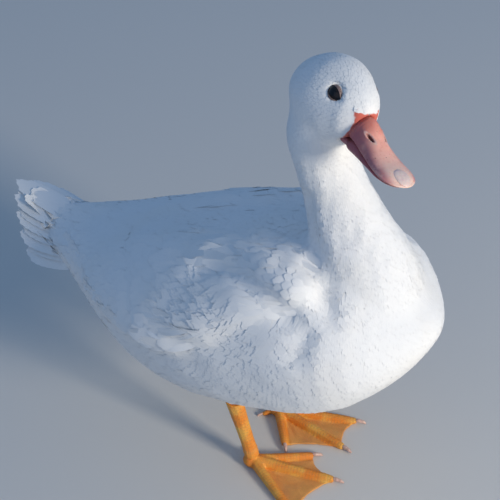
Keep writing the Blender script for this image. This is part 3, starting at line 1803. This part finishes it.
@dataclass
class Bill:
    """The broad flat bill: upper and lower halves and the horny nail at its tip."""

    head: HeadFrame
    upper: Loft = Loft(
        sections=(
            (22, 0, -8, 11.5, 17, 2.5),
            (36, 0, -8.8, 10.6, 15.5, 2.5),
            (50, 0, -11.8, 11.2, 10.6, 2.8),
            (66, 0, -13.8, 13.6, 6.2, 2.6),
            (80, 0, -14.8, 14.6, 4.6, 2.4),
            (91, 0, -15.8, 13.6, 3.2, 2.2),
        ),
        ends=(0.05, 0.27),
    )
    lower: Loft = Loft(
        sections=(
            (18, 0, -15.5, 10, 6, 7),
            (38, 0, -16, 9.6, 5.5, 6),
            (60, 0, -17.8, 11, 2.6, 3.6),
            (85, 0, -19, 12, 2, 2.2),
        ),
        ends=(0.05, 0.24),
    )
    nail: Loft = Loft(
        sections=(
            (76, 0, -10.5, 5, 1.6, 2),
            (83, 0, -11.8, 6.2, 1.8, 2.4),
            (91.5, 0, -14.8, 5.6, 1.6, 2.4),
        ),
        ends=(0.3, 0.4),
    )
    nostril: Point = (48.6, 6.1, -1.5)
    nostril_reach: Pair = (4.4, 1.15)
    nostril_way: Point = (8.9, -2.6, -2.7)
    nostril_depth: float = 2.8
    tuck: float = 1.5
    ridge_pitch: float = 1.7

    def build(self) -> None:
        """Makes the upper half, the lower half and the nail."""
        skin = BillFinish().material("bill_skin")
        shades = ((0.20, 0.04, 0.035, 1), (0.26, 0.07, 0.07, 1), (0.42, 0.17, 0.15, 1))
        under = BillFinish(*shades).material("bill_under_skin")
        horn = HornFinish((0.84, 0.64, 0.56, 1), (0.68, 0.52, 0.48, 1), scale=240.0).material("nail_horn")
        parts = (
            ("bill_top", self.upper, (110, 84), self.shape_upper, skin, Slot.BILL, "bill_upper"),
            ("bill_under", self.lower, (56, 40), self.shape_lower, under, Slot.BILL, "bill_lower"),
            ("nail", self.nail, (28, 28), self.shape_nail, horn, Slot.NAIL, "bill_nail"),
        )
        for name, form, counts, shape, material, slot, node in parts:
            dress(self.half(name, form, *counts, shape), material, [node])

    def half(self, name: str, form: Loft, rings: int, sides: int, shape: Callable) -> Piece:
        """One piece of the bill, with its reach and rim kept for the finish.

        Args:
            name: the piece's name.
            form: its loft.
            rings: the rings along it.
            sides: the sides of each ring.
            shape: the method that moves its points.

        Returns:
            The piece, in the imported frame.
        """
        piece = new_object(name, form.mesh(rings, sides))
        mesh = piece.data
        points, normals = vertices_of(mesh)
        shares = np.linspace(0, 1, 60)
        spine = spline(np.array(form.sections)[:, :4], shares)
        wide = np.interp(points[:, 0], spine[:, 0], spine[:, 3])
        keep_values(mesh, "reach", points[:, 0])
        keep_values(mesh, "rim", np.abs(points[:, 1]) / wide)
        keep_values(mesh, "hole", self.hole(points))
        set_vertices(mesh, self.head.at(shape(points, normals)))
        return piece

    def hole(self, points: Array) -> Array:
        """How far points are from the nostrils, where 1 is the rim.

        Args:
            points: the points in the head's millimetres.

        Returns:
            The distance of each.
        """
        ovals = []
        for side in Side:
            away = points - mirrored(self.nostril, side)
            along = away @ unit(mirrored(self.nostril_way, side))
            level = np.sqrt(np.maximum((away**2).sum(1) - along**2, 0))
            ovals.append(np.hypot(along / self.nostril_reach[0], level / self.nostril_reach[1]))
        return np.minimum(*ovals)

    def shape_upper(self, points: Array, normals: Array) -> Array:
        """Opens the nostrils, turns the rim in and puckers the base.

        Args:
            points: the points in the head's frame.
            normals: their normals.

        Returns:
            The moved points.
        """
        hole = self.hole(points)
        move = -self.nostril_depth * (1 - smoothstep(0.5, 1.05, hole))
        move += 0.5 * np.exp(-(((hole - 1.6) / 0.5) ** 2))
        x, y, z = points.T
        pucker = smoothstep(44, 34, x) * smoothstep(-16, -6, z)
        move += 0.25 * pucker * np.sin(x * 2.1 + 1.5 * np.sin(z * 0.6))
        move -= self.tuck * BareFace().tuck(points)
        rim = np.exp(-(((z - self.edge_height(x) - 1.6) / 0.7) ** 2)) * smoothstep(34, 44, x)
        move -= 0.35 * rim
        ridge = np.exp(-((y / 3.2) ** 2)) * smoothstep(58, 40, x) * (z > -4)
        move += 0.45 * ridge
        return points + normals * move[:, None]

    def edge_height(self, x: Array) -> Array:
        """The height of the upper half's rim at places along it."""
        rows = np.array(self.upper.sections)
        return np.interp(x, rows[:, 0], rows[:, 2])

    def shape_lower(self, points: Array, normals: Array) -> Array:
        """Cuts fine ridges along the sides of the lower half.

        Args:
            points: the points in the head's frame.
            normals: their normals.

        Returns:
            The moved points.
        """
        x, y, _ = points.T
        side = smoothstep(0.75, 0.95, np.abs(y) / 10.6) * smoothstep(34, 42, x) * smoothstep(82, 74, x)
        move = -0.22 * side * (0.5 + 0.5 * np.sin(x * 2 * np.pi / self.ridge_pitch))
        move -= self.tuck * BareFace().tuck(points)
        return points + normals * move[:, None]

    def shape_nail(self, points: Array, normals: Array) -> Array:
        """Crowns the nail along its middle."""
        return points + normals * (0.2 * np.exp(-((points[:, 1] / 2.2) ** 2)) - 0.2)[:, None]


@dataclass
class Eye:
    """An eye with its two lids, set in the skin.

    The tilt is in degrees and the lids' end in radians from the eye's axis. hidden is added to the
    distances that the finish reads, on the half inside the head.
    """

    side: Side
    head: HeadFrame
    centre: Point = (11.0, 14.6, 12.5)
    radius: float = 8.6
    depth: float = 3.2
    opening: Pair = (5.7, 3.6)
    tilt: float = -19.0
    out: Point = (0.27, 0.87, 0.38)
    hidden: float = 9.0
    cornea_rise: float = 0.4
    cornea_reach: float = 3.2
    lid_rim: float = 0.3
    lid_end: float = 1.25

    def frame(self) -> Matrix:
        """The eye's own frame: +Z out of the head and +X along the lids.

        Returns:
            The frame's matrix.
        """
        out = Vector(mirrored(self.out, self.side)).normalized()
        place = Vector(mirrored(self.centre, self.side)) - out * self.depth
        tilt = math.radians(self.tilt)
        long = Vector((math.cos(tilt), 0, math.sin(tilt)))
        long = (long - out * long.dot(out)).normalized()
        turned = Matrix((long, out.cross(long), out)).transposed().to_4x4()
        return self.head.matrix @ Matrix.Translation(place) @ turned

    def build(self) -> None:
        """Makes the eyeball and its lids."""
        label = self.side.label
        ball = bmesh.new()
        bmesh.ops.create_uvsphere(ball, u_segments=40, v_segments=28, radius=self.radius)
        for vertex in ball.verts:
            reach = vertex.co.xy.length / self.cornea_reach
            vertex.co.z += self.cornea_rise * math.exp(-(reach**2)) * (vertex.co.z > 0)
        offs = [vertex.co.xy.length + self.hidden * (vertex.co.z < 0) for vertex in ball.verts]
        ball.transform(self.frame())
        eyeball = new_object(f"eyeball_{label}", ball)
        keep_values(eyeball.data, "off_axis", offs)
        dress(eyeball, EyeFinish().material(f"eye_{label}"), [f"eye_{label}"])
        dress(self.lids(), LidFinish().material(f"lid_{label}"))

    def lids(self) -> Piece:
        """Both lids as one almond ring that runs out under the feathers.

        Returns:
            The lids, with how far out on them a point is.
        """
        bm = bmesh.new()
        ring = bmesh.ops.create_circle(bm, segments=20, radius=1.0)["verts"]
        bmesh.ops.rotate(bm, verts=ring, cent=(0, 0, 0), matrix=Matrix.Rotation(math.pi / 2, 3, "X"))
        bmesh.ops.translate(bm, verts=ring, vec=(3, 0, 0))
        turn = {"cent": (0, 0, 0), "axis": (0, 0, 1), "angle": 2 * math.pi}
        bmesh.ops.spin(bm, geom=ring + list(bm.edges), steps=64, use_merge=True, **turn)
        outer = []
        for vertex in bm.verts:
            angle = math.atan2(vertex.co.y, vertex.co.x)
            beyond = max(0.0, (vertex.co.xy.length - 2) / 2)
            corner = 1.0 + 0.12 * abs(math.cos(angle)) ** 8
            reach = Vector((self.opening[0] * corner * math.cos(angle), self.opening[1] * math.sin(angle)))
            start = math.asin(min(reach.length / self.radius, 0.97))
            turn = start + (self.lid_end - start) * beyond**1.2
            rim = self.lid_rim * math.exp(-((beyond / 0.2) ** 2)) * (vertex.co.z > -0.2)
            lift = 0.05 + 0.2 * vertex.co.z + rim
            away = (self.radius + lift) * math.sin(turn)
            vertex.co = (*(reach.normalized() * away), (self.radius + lift) * math.cos(turn))
            outer.append(beyond)
        bmesh.ops.recalc_face_normals(bm, faces=bm.faces)
        bm.transform(self.frame())
        piece = new_object(f"lids_{self.side.label}", bm)
        keep_values(piece.data, "outer", outer)
        return piece


# ---- Legs ---------------------------------------------------------------------------------------


@dataclass(frozen=True)
class Stance:
    """How one foot stands: its hock and heel, its turn and each toe's angle and length."""

    hock: Point
    heel: Point
    turn: float
    toes: dict[str, Pair]


STANCES = {
    Side.LEFT: Stance(
        hock=(-21, 36, 72),
        heel=(-8, 35, 1),
        turn=-7,
        toes={"inner": (44, 44), "middle": (0, 74), "outer": (-28, 72), "hind": (128, 15)},
    ),
    Side.RIGHT: Stance(
        hock=(-10, -36, 72),
        heel=(6, -30, 1),
        turn=15,
        toes={"inner": (25, 54), "middle": (0, 74), "outer": (-44, 70), "hind": (128, 15)},
    ),
}
TOE_RADII = {"inner": 4.0, "middle": 4.6, "outer": 4.2, "hind": 2.6}


@dataclass
class Leg:
    """A shank and webbed foot under one scaled skin, with its claws. The toes' heights are in metres."""

    side: Side
    body: BodyFrame
    voxel: float = 0.7
    claw_voxel: float = 0.35
    overlap: float = 0.25
    drawn_in: float = 0.8
    scute: float = 2.7
    shank_scute: float = 3.375
    groove: float = 0.24
    grain: float = 2.2
    grain_rise: float = 0.10
    crinkle: float = 11.0
    crinkle_rise: float = 0.32
    web_ribs: float = 24.0
    toe_height: float = 0.0045
    toe_fall: float = 0.0015
    heel: Array = field(init=False)
    hock: Array = field(init=False)
    lines: dict[str, Array] = field(init=False)

    def __post_init__(self) -> None:
        """Works out the toes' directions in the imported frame."""
        stance = STANCES[self.side]
        self.heel = self.body.at(stance.heel)
        self.hock = self.body.at(stance.hock)
        self.lines = {}
        for name, (angle, length) in stance.toes.items():
            turned = math.radians(stance.turn - self.side.value * angle)
            way = np.array([math.cos(turned), math.sin(turned), 0.0])
            start = np.array([self.heel[0], self.heel[1], self.toe_height])
            self.lines[name] = np.stack([start, start + way * length * MM - [0, 0, self.toe_fall]])

    def build(self, cad: dict[str, Piece]) -> None:
        """Makes the leg's skin and claws.

        Args:
            cad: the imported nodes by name.
        """
        label = self.side.label
        nodes = (f"shank_{label}", f"foot_{label}")
        skin = self.merged(f"leg_{label}_skin", [cad[name] for name in nodes], self.voxel, 5)
        self.scale(skin.data)
        dress(skin, LegFinish().material(f"leg_skin_{label}"), nodes)
        horn = HornFinish(light=(0.70, 0.47, 0.38, 1), dark=(0.45, 0.28, 0.22, 1), scale=420.0)
        for toe in TOE_RADII:
            node = f"claw_{label}_{toe}"
            claw = self.merged(f"claw_{toe}_{label}", [cad[node]], self.claw_voxel, 3)
            dress(claw, horn.material(f"claw_horn_{toe}_{label}"), [node])

    def merged(
        self, name: str, nodes: Sequence[Piece], voxel: float, rounds: int
    ) -> Piece:
        """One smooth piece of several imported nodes, drawn in again and kept above the floor.

        Args:
            name: the piece's name.
            nodes: the nodes.
            voxel: the size of its faces in millimetres.
            rounds: the rounds of smoothing.

        Returns:
            The piece.
        """
        piece = fused(name, nodes, self.overlap, voxel, rounds)
        points, normals = vertices_of(piece.data)
        points -= normals * self.overlap * MM * self.drawn_in
        points[:, 2] = np.maximum(points[:, 2], 0.0)
        set_vertices(piece.data, points)
        return piece

    def joints(self, share: Array, line: Array, pitch: float, edge: float) -> Array:
        """How deep points lie in the joints between scales.

        Args:
            share: the points' shares of the line's length.
            line: the two ends of the line that the scales run along.
            pitch: the length of a scale in millimetres.
            edge: the share of a scale's half where its joint starts.

        Returns:
            The depth at each point, from 0 to 1.
        """
        length = np.linalg.norm(line[1] - line[0]) / MM
        return smoothstep(edge, 1.0, np.abs((share * length / pitch) % 1.0 - 0.5) * 2)

    def scale(self, mesh: Mesh) -> None:
        """Cuts the joints between the scales on shank and toes, and keeps them for the finish.

        Args:
            mesh: the leg's mesh.
        """
        points, normals = vertices_of(mesh)
        groove = np.zeros(len(points))
        solid = np.zeros(len(points))
        for name, line in self.lines.items():
            away, share = line_distance(points, line)
            near = smoothstep(TOE_RADII[name] * 1.5, TOE_RADII[name] * 1.1, away / MM)
            top = smoothstep(0.1, 0.6, normals[:, 2])
            mark = self.joints(share, line, self.scute, 0.68) * near * top * smoothstep(0.12, 0.22, share)
            groove = np.maximum(groove, mark)
            solid = np.maximum(solid, near)
        line = np.stack([self.hock, self.heel])
        away, share = line_distance(points, line)
        shank = smoothstep(13, 10, away / MM) * smoothstep(0.90, 0.80, share)
        front = smoothstep(0.1, 0.5, normals[:, 0])
        mark = self.joints(share, line, self.shank_scute, 0.72) * shank * front
        groove = np.maximum(groove, mark)
        heel = smoothstep(13, 9, np.linalg.norm(points - self.heel, axis=1) / MM)
        web = 1 - np.maximum(np.maximum(solid, shank), heel)
        fine = bumps(points, (self.grain,) * 3, 5.0) * self.grain_rise
        spread = points - self.heel
        angles = np.arctan2(spread[:, 1], spread[:, 0])
        crinkle = bumps(points, (self.crinkle,) * 3, 9.0)
        ribs = np.sin(angles * self.web_ribs + 2.5 * crinkle)
        crinkle = self.crinkle_rise * web * (ribs + 0.6 * crinkle)
        lower = smoothstep(0.0002, 0.0012, points[:, 2])
        move = (-self.groove * groove + fine + crinkle) * lower
        set_vertices(mesh, points + normals * (move * MM)[:, None])
        keep_values(mesh, "groove", groove)
        keep_values(mesh, "web", web)


# ---- Studio -------------------------------------------------------------------------------------


@dataclass
class Studio:
    """The floor, the lights and the camera.

    The lights' places and aim and the floor's half side are in metres.
    """

    body: BodyFrame
    azimuth: float = 32.0
    elevation: float = 40.0
    distance: float = 1150.0
    target: Point = (10.0, 0.0, 157.0)
    target_pixel: Pair = (275.0, 300.0)
    focal_pixels: float = 1424.0
    sensor: float = 36.0
    aim: Point = (0.0, 0.0, 0.2)
    floor_half: float = 6.0
    floor_colour: Colour = (0.66, 0.64, 0.60, 1.0)
    sky: Colour = (0.34, 0.58, 1.0, 1.0)
    sky_strength: float = 0.43

    def build(self) -> None:
        """Makes the floor, the lights and the camera."""
        self.floor()
        self.lights()
        self.camera()

    def floor(self) -> None:
        """A plain pale floor at the level of the soles."""
        bm = bmesh.new()
        bmesh.ops.create_grid(bm, x_segments=1, y_segments=1, size=self.floor_half)
        floor = new_object("floor", bm)
        g = Graph("floor")
        g.set(Base_Color=self.floor_colour, Roughness=0.9, Specular_IOR_Level=0.1)
        floor.data.materials.append(g.material)

    def light(self, name: str, place: Point, size: float, power: float, tint: Point) -> None:
        """A square area light that looks at the body's middle.

        Args:
            name: the light's name.
            place: its place in metres.
            size: its side in metres.
            power: its power in watts.
            tint: its colour.
        """
        data = bpy.data.lights.new(name, "AREA")
        data.size, data.energy, data.color = size, power, tint
        lamp = linked(name, data)
        lamp.location = place
        aim = Vector(self.aim) - Vector(place)
        lamp.rotation_euler = aim.to_track_quat("-Z", "Y").to_euler()

    def lights(self) -> None:
        """A low warm key from the bird's front, a cool fill and a soft sky."""
        self.light("key", (2.35, -0.38, 0.92), 0.5, 50.0, (1.0, 0.92, 0.80))
        self.light("fill", (0.6, -2.4, 1.6), 2.4, 4.0, (0.95, 0.96, 1.0))
        world = bpy.data.worlds.new("sky")
        world.use_nodes = True
        background = world.node_tree.nodes["Background"]
        background.inputs["Color"].default_value = self.sky
        background.inputs["Strength"].default_value = self.sky_strength
        bpy.context.scene.world = world
        bpy.context.scene.view_settings.view_transform = "Standard"

    def camera(self) -> None:
        """The camera, aimed so that its target falls on its own pixel with no shift."""
        azimuth, elevation = math.radians(self.azimuth), math.radians(self.elevation)
        level = math.cos(elevation)
        back = Vector((math.sin(azimuth) * level, -math.cos(azimuth) * level, math.sin(elevation)))
        right = Vector((math.cos(azimuth), math.sin(azimuth), 0.0))
        up = back.cross(right)
        half = IMAGE_SIDE / 2
        aside = (half - self.target_pixel[0]) / self.focal_pixels
        above = (self.target_pixel[1] - half) / self.focal_pixels
        look = (-back + right * aside + up * above).normalized()
        data = bpy.data.cameras.new("camera")
        data.sensor_width = self.sensor
        data.lens = self.focal_pixels * self.sensor / IMAGE_SIDE
        data.clip_end = 50.0
        camera = linked("camera", data)
        camera.location = Vector(self.body.at(self.target)) + back * (self.distance * MM)
        side = look.cross(up).normalized()
        turned = Matrix((side, side.cross(look), -look)).transposed()
        camera.rotation_euler = turned.to_euler()
        bpy.context.scene.camera = camera


# ---- The bird -----------------------------------------------------------------------------------


def main() -> None:
    """Builds the duck round its frame."""
    logging.basicConfig(level=logging.INFO, format="%(name)s: %(message)s")
    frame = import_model()
    body = BodyFrame()
    head = HeadFrame(body)
    flow = Flow(body)
    Studio(body).build()
    skin = Skin(body, head)
    skin.build(frame["nodes"], flow)
    dress(skin.piece, PlumageFinish().material("down", barbs=False), skin.nodes)
    plumage = PlumageFinish().material("plumage", barbs=True)
    wings = bmesh.new()
    for side in Side:
        wings.from_mesh(frame["nodes"][f"wing_{side.label}"].data)
    Coat(skin, flow, head, plumage, BVHTree.FromBMesh(wings)).build()
    wings.free()
    Tail(skin, body, plumage).build()
    Bill(head).build()
    for side in Side:
        Wing(side, skin, body, plumage).build()
        Eye(side, head).build()
        Leg(side, body).build(frame["nodes"])
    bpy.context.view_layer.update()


if __name__ == "__main__":
    main()
